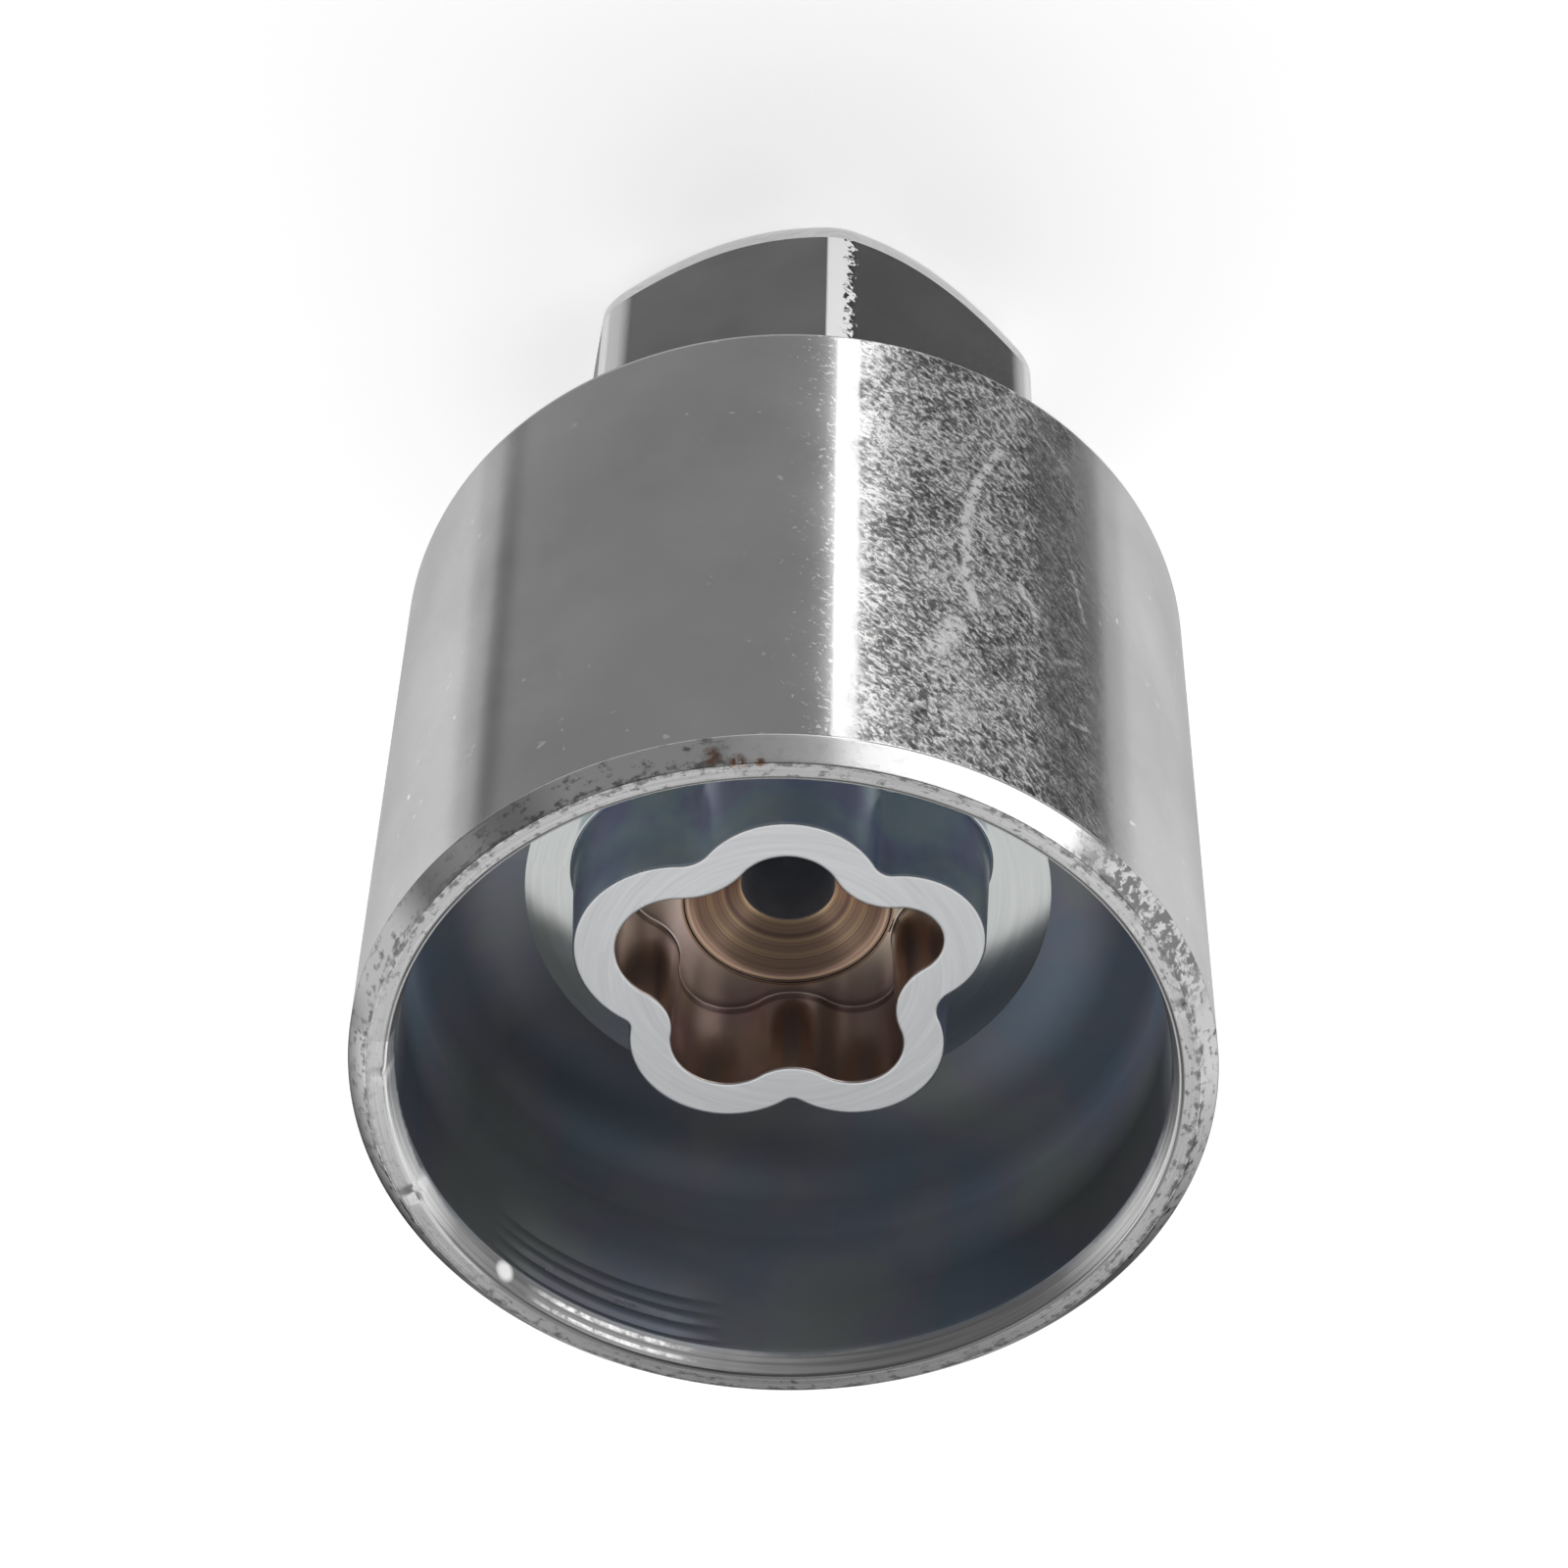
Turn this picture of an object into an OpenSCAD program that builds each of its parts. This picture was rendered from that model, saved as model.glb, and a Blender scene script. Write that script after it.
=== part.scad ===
// Key for a locking wheel nut: one turned and forged piece of steel.
// It stands on the end of its hexagon, with the mouth of its socket upward.
// The hexagon takes a wheel brace, and the lobed ridge in the socket fits the nut.

/* [Body] */
// Outside diameter of the round body
body_d = 35.5; // [34.5:0.5:42]
// Length of the round body, from its shoulder to its mouth
body_len = 30.1; // [24:0.1:40]
// Chamfer round the outer edge of the mouth
mouth_chamfer = 0.8; // [0.2:0.1:1]
// Radius on the edge of the shoulder
shoulder_r = 0.5; // [0.2:0.1:2]

/* [Socket] */
// Bore that passes over the head of the nut
socket_d = 31.7; // [29:0.1:32.1]
// Depth of the flat floor below the mouth
socket_depth = 12.8; // [11:0.1:18]
// Radius between the wall and the floor of the socket
floor_r = 4.5; // [1:0.1:4.9]
// How far the lead-in opens the bore, on the radius
lead_in = 0.3; // [0.1:0.05:0.5]
// Length of the lead-in
lead_in_len = 1.2; // [0.4:0.1:2]

/* [Ridge] */
// Distance from the mouth down to the end face of the ridge
ridge_inset = 7.5; // [4:0.1:9]
// Wall of the ridge at its end face
ridge_wall = 1.8; // [1.2:0.1:2.2]
// How much the outside of the ridge spreads down to the floor, on each side
ridge_draft = 0.25; // [0.05:0.05:0.4]
// Direction of each lobe from the axis, in degrees
lobe_turn = [-7, 65, 136, 211, 278];
// Distance of each lobe's centre from the axis
lobe_out = [4.5, 4.5, 4.7, 5.2, 4.1];
// Radius of each lobe, outside
lobe_r = [4.6, 4.15, 3.95, 3.55, 4.05];
// Radius of the valley that follows each lobe, outside
valley_r = [0.5, 0.5, 1.2, 0.8, 1.5];

/* [Recess] */
// Depth of the lobed recess, from the end face of the ridge
recess_depth = 4.8; // [3:0.1:7]
// How much the recess narrows down to its floor, on each side
recess_draft = 0.15; // [0.05:0.05:0.3]
// Diameter of the drilled cone in the floor of the recess
cone_d = 8.8; // [7:0.1:9.2]
// Included angle of the cone, in degrees
cone_angle = 120; // [100:1:140]
// Diameter of the centre hole
hole_d = 4; // [2:0.1:5]
// Depth of the centre hole below the cone
hole_depth = 8; // [4:0.5:20]
// Included angle of the tip of the centre hole, in degrees
tip_angle = 118; // [90:1:140]

/* [Hexagon] */
// Size of the hexagon across its flats
hex_af = 21; // [17:0.5:24]
// Length of the hexagon, from its end face to the shoulder
hex_len = 21.5; // [14:0.1:30]
// Radius on the six long edges
hex_edge_r = 1.6; // [0.4:0.1:2.5]
// Angle of the turned chamfer to the axis, in degrees
hex_chamfer_angle = 38; // [25:1:60]
// How far the chamfer stands inside the flats at the end face
hex_chamfer_in = 0.6; // [0.2:0.1:2]
// Radius between the chamfer and the end face
hex_end_r = 0.8; // [0.2:0.1:2]

/* [Hidden] */
$fn = 96;
steel = [0.62, 0.62, 0.62];
joint_overlap = 0.5;
past = 1;
// Arcs run this far past the tangent, so they meet in a fine crease.
crease = 0.005;

body_r = body_d / 2;
socket_r = socket_d / 2;
overall_len = hex_len + body_len;
floor_z = overall_len - socket_depth;
ridge_top_z = overall_len - ridge_inset;
ridge_height = ridge_top_z - floor_z;
recess_floor_z = ridge_top_z - recess_depth;
cone_r = cone_d / 2;
hole_r = hole_d / 2;
cone_depth = (cone_r - hole_r) / tan(cone_angle / 2);
hole_top_z = recess_floor_z - cone_depth;
tip_depth = hole_r / tan(tip_angle / 2);

hex_sides = 6;
hex_apothem = hex_af / 2;
hex_corner_out = hex_apothem / cos(180 / hex_sides);
hex_edge_out = (hex_apothem - hex_edge_r) / cos(180 / hex_sides);
chamfer_end_r = hex_apothem - hex_chamfer_in;
chamfer_rise = (hex_edge_out + hex_edge_r + past - chamfer_end_r) / tan(hex_chamfer_angle);
// The edge circle touches the end face and the cone of the chamfer.
end_circle_in = hex_end_r * tan((90 - hex_chamfer_angle) / 2);

lobes = len(lobe_turn);
function polar(distance, turn) = distance * [cos(turn), sin(turn)];
function next(i) = (i + 1) % lobes;
function lobe_centre(i) = polar(lobe_out[i], lobe_turn[i]);

// A valley is the circle that touches two lobes from outside.
// Every offset of the outline keeps the same centres, so its arcs stay tangent.
function valley_centre(i) =
    let (
        from = lobe_centre(i),
        to = lobe_centre(next(i)),
        reach_from = lobe_r[i] + valley_r[i],
        reach_to = lobe_r[next(i)] + valley_r[i],
        gap = norm(to - from),
        along = (pow(reach_from, 2) - pow(reach_to, 2) + pow(gap, 2)) / (2 * gap),
        aside = sqrt(pow(reach_from, 2) - pow(along, 2)),
        dir = (to - from) / gap
    )
    from + along * dir + aside * [dir.y, -dir.x];

// The straight lines from lobe to valley pass through the points where their arcs touch.
module lobe_star() {
    polygon([
        for (i = [0 : lobes - 1])
            for (corner = [lobe_centre(i), valley_centre(i)]) corner
    ]);
}

// Lobed block with drafted walls: offsets of the outline at its foot and at its top
module lobed_block(height, foot, top) {
    difference() {
        union() {
            linear_extrude(height) lobe_star();
            for (i = [0 : lobes - 1])
                translate(lobe_centre(i))
                    cylinder(h = height, r1 = lobe_r[i] + foot, r2 = lobe_r[i] + top);
        }
        for (i = [0 : lobes - 1])
            translate(valley_centre(i))
                cylinder(
                    h = height,
                    r1 = valley_r[i] - foot + crease,
                    r2 = valley_r[i] - top + crease
                );
    }
}

module round_body() {
    translate([0, 0, hex_len])
        rotate_extrude() {
            square([body_r - shoulder_r, body_len]);
            translate([0, shoulder_r])
                square([body_r, body_len - shoulder_r - mouth_chamfer]);
            translate([body_r - shoulder_r, shoulder_r])
                circle(shoulder_r);
            polygon([
                [0, body_len - mouth_chamfer],
                [body_r, body_len - mouth_chamfer],
                [body_r - mouth_chamfer, body_len],
                [0, body_len]
            ]);
        }
}

module socket_space() {
    translate([0, 0, floor_z])
        rotate_extrude() {
            square([socket_r - floor_r, socket_depth + past]);
            translate([0, floor_r])
                square([socket_r, socket_depth - floor_r + past]);
            translate([socket_r - floor_r, floor_r])
                circle(floor_r);
        }
    translate([0, 0, overall_len - lead_in_len])
        cylinder(h = lead_in_len, r1 = socket_r, r2 = socket_r + lead_in);
}

// Flats between rounded edges: the sharp hexagon trims the edge circles to its flats.
module hex_outline() {
    intersection() {
        polygon([
            for (i = [0 : hex_sides - 1])
                polar(hex_corner_out, (i + 0.5) * 360 / hex_sides)
        ]);
        union() {
            polygon([
                for (i = [0 : hex_sides - 1])
                    for (side = [-1, 1])
                        polar(hex_edge_out, (i + 0.5) * 360 / hex_sides)
                            + polar(hex_edge_r + crease / 2, (i + 0.5 + side / 2) * 360 / hex_sides)
            ]);
            for (i = [0 : hex_sides - 1])
                translate(polar(hex_edge_out, (i + 0.5) * 360 / hex_sides))
                    circle(hex_edge_r + crease);
        }
    }
}

// Turned envelope of the hexagon's end: end face, edge radius and chamfer
module turned_end() {
    rotate_extrude() {
        polygon([
            [0, 0],
            [chamfer_end_r - end_circle_in, 0],
            [chamfer_end_r + end_circle_in * sin(hex_chamfer_angle),
                end_circle_in * cos(hex_chamfer_angle)],
            [chamfer_end_r + chamfer_rise * tan(hex_chamfer_angle), chamfer_rise],
            [chamfer_end_r + chamfer_rise * tan(hex_chamfer_angle), hex_len + joint_overlap],
            [0, hex_len + joint_overlap]
        ]);
        intersection() {
            translate([chamfer_end_r - end_circle_in, hex_end_r])
                circle(hex_end_r);
            translate([chamfer_end_r - end_circle_in, 0])
                square([hex_end_r, hex_end_r]);
        }
    }
}

module hex_drive() {
    intersection() {
        linear_extrude(hex_len + joint_overlap) hex_outline();
        turned_end();
    }
}

// The draft runs on below the floor, where the ridge is joined.
module lock_ridge() {
    translate([0, 0, floor_z - joint_overlap])
        lobed_block(
            ridge_height + joint_overlap,
            ridge_draft * (ridge_height + joint_overlap) / ridge_height,
            0
        );
}

module recess_space() {
    translate([0, 0, recess_floor_z])
        lobed_block(
            recess_depth + past,
            -ridge_wall - recess_draft,
            -ridge_wall + recess_draft * past / recess_depth
        );
    drilled_hole();
}

// Cone, centre hole and its tip, drilled into the floor of the recess
module drilled_hole() {
    rotate_extrude()
        polygon([
            [0, hole_top_z - hole_depth - tip_depth],
            [hole_r, hole_top_z - hole_depth],
            [hole_r, hole_top_z],
            [cone_r, recess_floor_z],
            [cone_r, recess_floor_z + past],
            [0, recess_floor_z + past]
        ]);
}

module nut_key() {
    color(steel)
        difference() {
            union() {
                difference() {
                    round_body();
                    socket_space();
                }
                hex_drive();
                lock_ridge();
            }
            recess_space();
        }
}

nut_key();
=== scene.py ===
import math

import bmesh
import bpy
from mathutils import Matrix, Vector


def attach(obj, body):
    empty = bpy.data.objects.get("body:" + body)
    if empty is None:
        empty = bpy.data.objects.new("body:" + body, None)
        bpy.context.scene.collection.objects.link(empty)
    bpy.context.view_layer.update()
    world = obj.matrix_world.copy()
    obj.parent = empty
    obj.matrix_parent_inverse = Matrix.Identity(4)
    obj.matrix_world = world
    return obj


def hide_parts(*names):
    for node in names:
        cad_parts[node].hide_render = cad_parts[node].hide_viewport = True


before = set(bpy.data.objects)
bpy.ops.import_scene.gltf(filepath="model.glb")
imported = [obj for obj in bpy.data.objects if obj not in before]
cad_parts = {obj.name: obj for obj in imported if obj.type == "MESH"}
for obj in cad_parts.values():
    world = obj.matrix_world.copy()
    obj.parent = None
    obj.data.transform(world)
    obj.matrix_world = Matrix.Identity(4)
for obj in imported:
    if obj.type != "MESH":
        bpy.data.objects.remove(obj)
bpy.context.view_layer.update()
print("frame loaded")

mm = 0.001


def polar(distance, turn):
    angle = math.radians(turn)
    return Vector((distance * math.cos(angle), distance * math.sin(angle)))


def turnOf(vector):
    return math.degrees(math.atan2(vector.y, vector.x))


# The nut key stands on its hexagon. Sizes are in millimetres, turns in degrees round the axis.

nutKey = {
    "slots": 420,             # vertices in every ring of the mesh
    "length": 51.6,
    "hexagonAcross": 21.0,
    "hexagonLength": 21.5,
    "hexagonEdgeRadius": 1.6,
    "hexagonEndRadius": 9.9,  # where the turned chamfer meets the end face
    "hexagonChamferTurn": 38.0,
    "hexagonChamferBlend": 1.5,
    "hexagonEndBlend": 0.7,
    "hexagonRubbedAndHighlitBand": 0.5,  # rubbed bright above the chamfer, with a painted highlight
    "hexagonRoot": 0.3,
    "hexagonCornerSlots": 14,
    "bodyRadius": 17.75,
    "shoulderBlend": 0.5,
    "mouthChamfer": 0.8,
    "chamferBlend": 0.12,
    "leadInBlend": 0.18,
    "leadInRadius": 16.15,
    "leadInLength": 1.2,
    "boreRadius": 15.85,
    "floorHeight": 38.8,
    "floorBlend": 4.5,
    "ridgeTop": 44.1,
    "ridgeDraft": 0.25,
    "ridgeWall": 1.8,
    "recessFloor": 39.3,
    "recessDraft": 0.15,
    "coneRadius": 4.4,
    "coneTurn": 60.0,         # from the axis
    "holeRadius": 2.0,
    "holeDepth": 8.0,
    "tipTurn": 59.0,
    "finestEdge": 0.08,       # edges that look sharp are broken this much
}

ridgeLobes = {
    "turn": [-7, 65, 136, 211, 278],
    "out": [4.5, 4.5, 4.7, 5.2, 4.1],
    "radius": [4.6, 4.15, 3.95, 3.55, 4.05],
    "valleyRadius": [0.5, 0.5, 1.2, 0.8, 1.5],
    "lobeSlots": 58,
    "valleySlots": 26,
    "firstSlot": -37,
}

finishes = [
    "platedSteel", "hexagonSteel", "hexagonChamfer", "turnedSteel", "mouthChamfer", "leadIn",
    "boreOxide", "socketFloor", "ridgeOxide", "ridgeFace", "recessBronze", "holeShade",
]


def lobeCentre(index):
    index %= 5
    return polar(ridgeLobes["out"][index], ridgeLobes["turn"][index])


def valleyCentre(index):
    start, end = lobeCentre(index), lobeCentre(index + 1)
    valley = ridgeLobes["valleyRadius"][index % 5]
    reachStart = ridgeLobes["radius"][index % 5] + valley
    reachEnd = ridgeLobes["radius"][(index + 1) % 5] + valley
    gap = (end - start).length
    along = (reachStart ** 2 - reachEnd ** 2 + gap ** 2) / (2 * gap)
    aside = math.sqrt(reachStart ** 2 - along ** 2)
    way = (end - start) / gap
    return start + along * way + aside * Vector((way.y, -way.x))


def lobedSpoke(slot):
    # centre of the slot's arc, direction from it, radius, and +1 on a lobe or -1 in a valley
    perLobe = ridgeLobes["lobeSlots"] + ridgeLobes["valleySlots"]
    slot = (slot - ridgeLobes["firstSlot"]) % (5 * perLobe)
    index, step = divmod(slot, perLobe)
    centre = lobeCentre(index)
    turnIn = turnOf(valleyCentre(index - 1) - centre)
    turnOut = turnOf(valleyCentre(index) - centre)
    if step < ridgeLobes["lobeSlots"]:
        sweep = (turnOut - turnIn) % 360
        turn = turnIn + sweep * step / ridgeLobes["lobeSlots"]
        return centre, polar(1, turn), ridgeLobes["radius"][index], 1
    centre = valleyCentre(index)
    turnEnd = turnOf(lobeCentre(index + 1) - centre)
    sweep = (turnOut + 180 - turnEnd) % 360
    turn = turnOut + 180 - sweep * (step - ridgeLobes["lobeSlots"]) / ridgeLobes["valleySlots"]
    return centre, polar(1, turn), ridgeLobes["valleyRadius"][index], -1


lobedSpokes = [lobedSpoke(slot) for slot in range(nutKey["slots"])]


def lobedPoint(slot, offset):
    centre, way, radius, side = lobedSpokes[slot]
    return centre + way * (radius + side * offset)


def hexagonPoint(slot):
    perSide = nutKey["slots"] // 6
    cornerSlots = nutKey["hexagonCornerSlots"]
    flatSlots = perSide - cornerSlots
    side, step = divmod((slot + flatSlots // 2) % nutKey["slots"], perSide)
    apothem = nutKey["hexagonAcross"] / 2
    edgeOut = (apothem - nutKey["hexagonEdgeRadius"]) / math.cos(math.radians(30))
    if step <= flatSlots:
        along = edgeOut / 2 * (2 * step / flatSlots - 1)
        return polar(apothem, side * 60) + polar(along, side * 60 + 90), polar(1, side * 60)
    turn = side * 60 + 60 * (step - flatSlots) / cornerSlots
    return polar(edgeOut, side * 60 + 30) + polar(nutKey["hexagonEdgeRadius"], turn), polar(1, turn)


hexagonPoints = [hexagonPoint(slot) for slot in range(nutKey["slots"])]


def smoothProfile(corners):
    # each corner: outward, height, blend radius, finish of the leg after it
    # a blend gets an arc with a close ring on each side
    points = []
    for index, (out, height, blend, finish) in enumerate(corners):
        here = Vector((out, height))
        if not blend:
            points.append((out, height, finish))
            continue
        before = (Vector(corners[index - 1][:2]) - here).normalized()
        after = (Vector(corners[index + 1][:2]) - here).normalized()
        bend = math.pi - before.angle(after)
        setback = blend * math.tan(bend / 2)
        start, end = here + before * setback, here + after * setback
        centre = here + (before + after).normalized() * blend / math.cos(bend / 2)
        steps = 3 if blend < 0.2 else 4 if blend < 1 else 12
        close = min(0.06, blend)
        legFinish = corners[index - 1][3]
        near = start + before * close
        points.append((near.x, near.y, legFinish))
        for step in range(steps + 1):
            share = step / steps
            spot = centre + slerped(start - centre, end - centre, share)
            points.append((spot.x, spot.y, legFinish if share < 0.5 else finish))
        far = end + after * close
        points.append((far.x, far.y, finish))
    return points


def slerped(first, last, share):
    angle = first.angle(last)
    if angle < 1e-6:
        return first.lerp(last, share)
    return (first * math.sin((1 - share) * angle) + last * math.sin(share * angle)) / math.sin(angle)


# The mesh is a circle of edges, extruded ring by ring from the hexagon's end to the bottom of the hole.

print("building the nut key")
mesh = bmesh.new()
place = mesh.verts.layers.int.new("place")
bmesh.ops.create_circle(mesh, cap_ends=True, cap_tris=True, segments=nutKey["slots"], radius=1.0)
openEdges = [edge for edge in mesh.edges if edge.is_boundary]
for vert in mesh.verts:
    vert[place] = round(turnOf(vert.co) / 360 * nutKey["slots"]) % nutKey["slots"]
for vert in {v for edge in openEdges for v in edge.verts}:
    vert.co = polar(1.0, vert[place] * 360 / nutKey["slots"]).to_3d()


def addRing(edges, shape, finish):
    grown = bmesh.ops.extrude_edge_only(mesh, edges=edges)["geom"]
    for part in grown:
        if isinstance(part, bmesh.types.BMVert):
            part.co = shape(part[place])
    newEdges = [part for part in grown if isinstance(part, bmesh.types.BMEdge) and part.is_boundary]
    for edge in newEdges:
        for face in edge.link_faces:
            face.material_index = finishes.index(finish)
    return newEdges


def roundShape(radius, height):
    def shape(slot):
        return polar(radius, slot * 360 / nutKey["slots"]).to_3d() + Vector((0, 0, height))
    return shape


def lobedShape(offset, height):
    def shape(slot):
        return lobedPoint(slot, offset).to_3d() + Vector((0, 0, height))
    return shape


def mixedShape(radius, height, guideOffset, share):
    # a circle whose vertices stand between the lobed outline's turns (share 0) and even turns (share 1)
    def shape(slot):
        even = slot * 360 / nutKey["slots"]
        lobed = turnOf(lobedPoint(slot, guideOffset))
        off = (lobed - even + 180) % 360 - 180
        return polar(radius, even + off * (1 - share)).to_3d() + Vector((0, 0, height))
    return shape


# the hexagon's end face, blend and chamfer
key = nutKey
lean = math.radians(key["hexagonChamferTurn"])
endProfile = smoothProfile([
    (1.0, 0, 0, "platedSteel"),
    (key["hexagonEndRadius"], 0, key["hexagonEndBlend"], "platedSteel"),
    (key["hexagonEndRadius"] + math.sin(lean), math.cos(lean), 0, "platedSteel"),
])[1:-2]
for radius in (3.0, 6.0, 8.5):
    openEdges = addRing(openEdges, roundShape(radius, 0), "platedSteel")
for radius, height, finish in endProfile:
    openEdges = addRing(openEdges, roundShape(radius, height), "hexagonChamfer")

# the chamfer meets the flats in a rounded edge that follows the curve of the cut
blendSetback = key["hexagonChamferBlend"] * math.tan(lean / 2)


def chamferShape(share, above=0.0):
    def shape(slot):
        spot, normal = hexagonPoints[slot]
        reach = spot.length
        cutHeight = (reach - key["hexagonEndRadius"]) / math.tan(lean)
        corner = Vector((0, cutHeight))
        start = corner + blendSetback * Vector((-math.sin(lean), -math.cos(lean)))
        end = corner + blendSetback * Vector((0, 1))
        centre = end - Vector((key["hexagonChamferBlend"], 0))
        arc = centre + slerped(start - centre, end - centre, share)
        return (spot + spot.normalized() * arc.x).to_3d() + Vector((0, 0, arc.y + above))
    return shape


for step in range(7):
    openEdges = addRing(openEdges, chamferShape(step / 6), "hexagonChamfer")
openEdges = addRing(openEdges, chamferShape(1, key["hexagonRubbedAndHighlitBand"]), "hexagonChamfer")


def flatShape(height, spread=0.0):
    def shape(slot):
        spot, normal = hexagonPoints[slot]
        return (spot + normal * spread).to_3d() + Vector((0, 0, height))
    return shape


for height in (4.2, 6, 9, 12, 15, 18, key["hexagonLength"] - key["hexagonRoot"] - 0.1):
    openEdges = addRing(openEdges, flatShape(height), "hexagonSteel")
for step in range(5):
    angle = math.radians(90 * step / 4)
    root = key["hexagonRoot"]
    height = key["hexagonLength"] - root + root * math.sin(angle)
    openEdges = addRing(openEdges, flatShape(height, root * (1 - math.cos(angle))), "hexagonSteel")

# shoulder, body, mouth chamfer, rim, lead-in with its turned grooves, and bore
fine = key["finestEdge"]
top = key["length"]
bore = key["boreRadius"]
boreFoot = key["floorHeight"] + key["floorBlend"] + 0.5
grooves = {
    "heights": [50.05, 49.2, 48.45, 47.7],
    "depths": [0.14, 0.1, 0.06, 0.06],
    "width": 0.34,
    "from": 48.0, "to": 90.0,  # turn round the axis
}
outerCorners = [
    (13.2, key["hexagonLength"], 0, "platedSteel"),
    (key["bodyRadius"], key["hexagonLength"], key["shoulderBlend"], "platedSteel"),
    (key["bodyRadius"], 30, 0, "platedSteel"),
    (key["bodyRadius"], 40, 0, "platedSteel"),
    (key["bodyRadius"], top - key["mouthChamfer"], key["chamferBlend"], "mouthChamfer"),
    (key["bodyRadius"] - key["mouthChamfer"], top, fine, "turnedSteel"),
    (key["leadInRadius"], top, key["leadInBlend"], "leadIn"),
    (bore + 0.02, top - key["leadInLength"], 0, "leadIn"),
]
for height, depth in zip(grooves["heights"], grooves["depths"]):
    half = grooves["width"] / 2
    outerCorners += [
        (bore, height + half, 0, "boreOxide"),
        (bore + depth, height + 0.04, 0, "boreOxide"),
        (bore + depth, height - 0.04, 0, "boreOxide"),
        (bore, height - half, 0, "boreOxide"),
    ]
outerCorners += [
    (bore, 45.5, 0, "boreOxide"),
    (bore, key["floorHeight"], key["floorBlend"], "boreOxide"),
    (11.2, key["floorHeight"], 0, "socketFloor"),
    (10.9, key["floorHeight"], 0, "socketFloor"),
]


def boreShape(radius, height):
    # the grooves fade out at both ends of their arc
    def shape(slot):
        turn = slot * 360 / nutKey["slots"]
        fade = min(max(min(turn - grooves["from"], grooves["to"] - turn) / 8, 0), 1)
        return polar(bore + (radius - bore) * fade, turn).to_3d() + Vector((0, 0, height))
    return shape


for radius, height, finish in smoothProfile(outerCorners):
    inBore = finish == "boreOxide" and boreFoot < height < grooves["heights"][0] + 0.3
    openEdges = addRing(openEdges, (boreShape if inBore else roundShape)(radius, height), finish)

# the flat floor carries the rings over from even turns to the lobed outline
floor = key["floorHeight"]
for radius, share in ((10.7, 0.75), (10.5, 0.5), (10.3, 0.25), (10.1, 0.0)):
    openEdges = addRing(openEdges, mixedShape(radius, floor, key["ridgeDraft"], share), "socketFloor")

# ridge and recess: offsets of one lobed outline
ridgeCorners = [
    (key["ridgeDraft"] + 0.6, floor, 0, "socketFloor"),
    (key["ridgeDraft"], floor, 0.15, "ridgeOxide"),
    (0, key["ridgeTop"], 0.1, "ridgeFace"),
    (-key["ridgeWall"], key["ridgeTop"], 0.1, "recessBronze"),
    (-key["ridgeWall"] - key["recessDraft"], key["recessFloor"], 0.06, "recessBronze"),
    (-key["ridgeWall"] - key["recessDraft"] - 0.45, key["recessFloor"], 0, "recessBronze"),
]
for offset, height, finish in smoothProfile(ridgeCorners)[1:-1]:
    openEdges = addRing(openEdges, lobedShape(offset, height), finish)

# drilled cone with its turned steps, hole and tip
recess = key["recessFloor"]
coneLean = math.radians(key["coneTurn"])
coneDepth = (key["coneRadius"] - key["holeRadius"]) / math.tan(coneLean)
holeTop = recess - coneDepth
tipDepth = key["holeRadius"] / math.tan(math.radians(key["tipTurn"]))
coneCorners = [
    (key["coneRadius"] + 0.25, recess, 0, "recessBronze"),
    (key["coneRadius"] + 0.07, recess, 0.03, "recessBronze"),
    (key["coneRadius"] + 0.03, recess - 0.08, 0.03, "recessBronze"),
]
coneSteps = 9
for step in range(coneSteps):
    share = (step + 0.5) / coneSteps
    radius = key["coneRadius"] + (key["holeRadius"] - key["coneRadius"]) * share
    coneCorners.append((radius, recess - coneDepth * share - 0.02 * (-1) ** step, 0, "recessBronze"))
coneCorners += [
    (key["holeRadius"], holeTop, 0.05, "holeShade"),
    (key["holeRadius"], holeTop - 2, 0, "holeShade"),
    (key["holeRadius"], holeTop - key["holeDepth"], 0.05, "holeShade"),
    (0.3, holeTop - key["holeDepth"] - tipDepth * 0.85, 0, "holeShade"),
]
guide = -key["ridgeWall"] - key["recessDraft"]
for radius, height, finish in smoothProfile(coneCorners):
    openEdges = addRing(openEdges, mixedShape(radius, height, guide, 0.0), finish)
openEdges = addRing(openEdges, roundShape(0.0, holeTop - key["holeDepth"] - tipDepth), "holeShade")
bmesh.ops.remove_doubles(mesh, verts=list({v for edge in openEdges for v in edge.verts}), dist=1e-6)

# small marks of use at the mouth: turn, radius, height, size, depth (minus is a raised burr)
marks = [
    (51.6, 15.95, 50.9, 0.4, -0.22),
    (6.3, 16.15, 51.5, 0.3, 0.12),
    (29.7, 16.2, 51.5, 0.4, 0.2),
    (286.5, 17.0, 51.6, 0.5, 0.12),
    (222.0, 17.1, 51.4, 0.5, 0.15),
    (206.0, 17.0, 51.5, 0.4, 0.12),
    (128.0, 17.2, 51.3, 0.5, 0.15),
]
bmesh.ops.recalc_face_normals(mesh, faces=mesh.faces)
mesh.normal_update()
for turn, radius, height, size, depth in marks:
    spot = polar(radius, turn).to_3d() + Vector((0, 0, height))
    for vert in (v for v in mesh.verts if v.co.z > 50):
        away = (vert.co - spot).length / size
        if away < 1:
            vert.co -= vert.normal * depth * (1 - away * away) ** 2

bmesh.ops.scale(mesh, vec=(mm, mm, mm), verts=mesh.verts)
for face in mesh.faces:
    face.smooth = True
keyMesh = bpy.data.meshes.new("nutKey")
mesh.to_mesh(keyMesh)
mesh.free()
keyMesh.attributes.remove(keyMesh.attributes["place"])
keyPiece = bpy.data.objects.new("nutKey", keyMesh)
bpy.context.scene.collection.objects.link(keyPiece)
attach(keyPiece, "root")
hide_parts("nut_key")
print("nut key has", len(keyMesh.polygons), "faces")

# Every pattern of the materials reads Object coordinates, in metres.

def grey(value):
    return (value, value, value, 1)


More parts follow.
